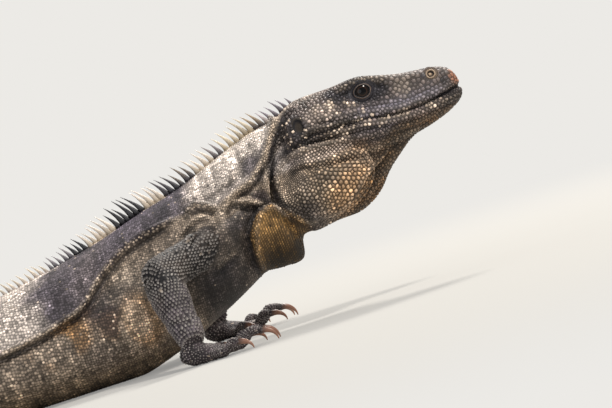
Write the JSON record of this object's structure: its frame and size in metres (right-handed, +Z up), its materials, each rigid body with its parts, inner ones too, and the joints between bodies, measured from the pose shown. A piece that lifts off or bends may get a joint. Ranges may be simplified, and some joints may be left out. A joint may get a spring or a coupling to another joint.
{
  "type": "black spiny-tailed iguana",
  "caption": "Still, life-size iguana lying alert on its belly, head raised, with a spiny crest, throat fold and long tail.",
  "frame": {"origin": "on the ground, in the middle of the flat under the belly", "axes": "+X towards the snout, +Y to the animal's left, +Z up; the ground is Z = 0"},
  "size_m": [1.0007, 0.2991, 0.1114],
  "materials": {
    "skin_slate": "dry scaled skin, slate grey",
    "skin_umber": "dry scaled skin, umber brown",
    "skin_ochre": "dry tiled scales, ochre tan",
    "skin_soot": "dry scaled skin, near black",
    "claw_horn": "smooth worn horn",
    "eye": "wet dark eye",
    "eardrum": "thin dark membrane"
  },
  "bodies": {
    "root": {"head": "skin_slate", "lower_jaw": "skin_slate", "throat": "skin_umber", "eye_L": "eye", "ear_L": "eardrum", "jowl_L": "skin_ochre", "eye_R": "eye", "ear_R": "eardrum", "jowl_R": "skin_ochre", "neck": "skin_slate", "gular_fold": "skin_ochre", "trunk": "skin_slate", "tail_base": "skin_slate", "tail_middle": "skin_slate", "tail_tip": "skin_soot", "upper_arm_L": "skin_soot", "forearm_L": "skin_soot", "hand_L": "skin_soot", "hand_L_claw_1": "claw_horn", "hand_L_claw_2": "claw_horn", "hand_L_claw_3": "claw_horn", "hand_L_claw_4": "claw_horn", "hand_L_claw_5": "claw_horn", "thigh_L": "skin_soot", "shank_L": "skin_soot", "foot_L": "skin_soot", "foot_L_claw_1": "claw_horn", "foot_L_claw_2": "claw_horn", "foot_L_claw_3": "claw_horn", "foot_L_claw_4": "claw_horn", "foot_L_claw_5": "claw_horn", "upper_arm_R": "skin_soot", "forearm_R": "skin_soot", "hand_R": "skin_soot", "hand_R_claw_1": "claw_horn", "hand_R_claw_2": "claw_horn", "hand_R_claw_3": "claw_horn", "hand_R_claw_4": "claw_horn", "hand_R_claw_5": "claw_horn", "thigh_R": "skin_soot", "shank_R": "skin_soot", "foot_R": "skin_soot", "foot_R_claw_1": "claw_horn", "foot_R_claw_2": "claw_horn", "foot_R_claw_3": "claw_horn", "foot_R_claw_4": "claw_horn", "foot_R_claw_5": "claw_horn"}
  },
  "joints": []
}
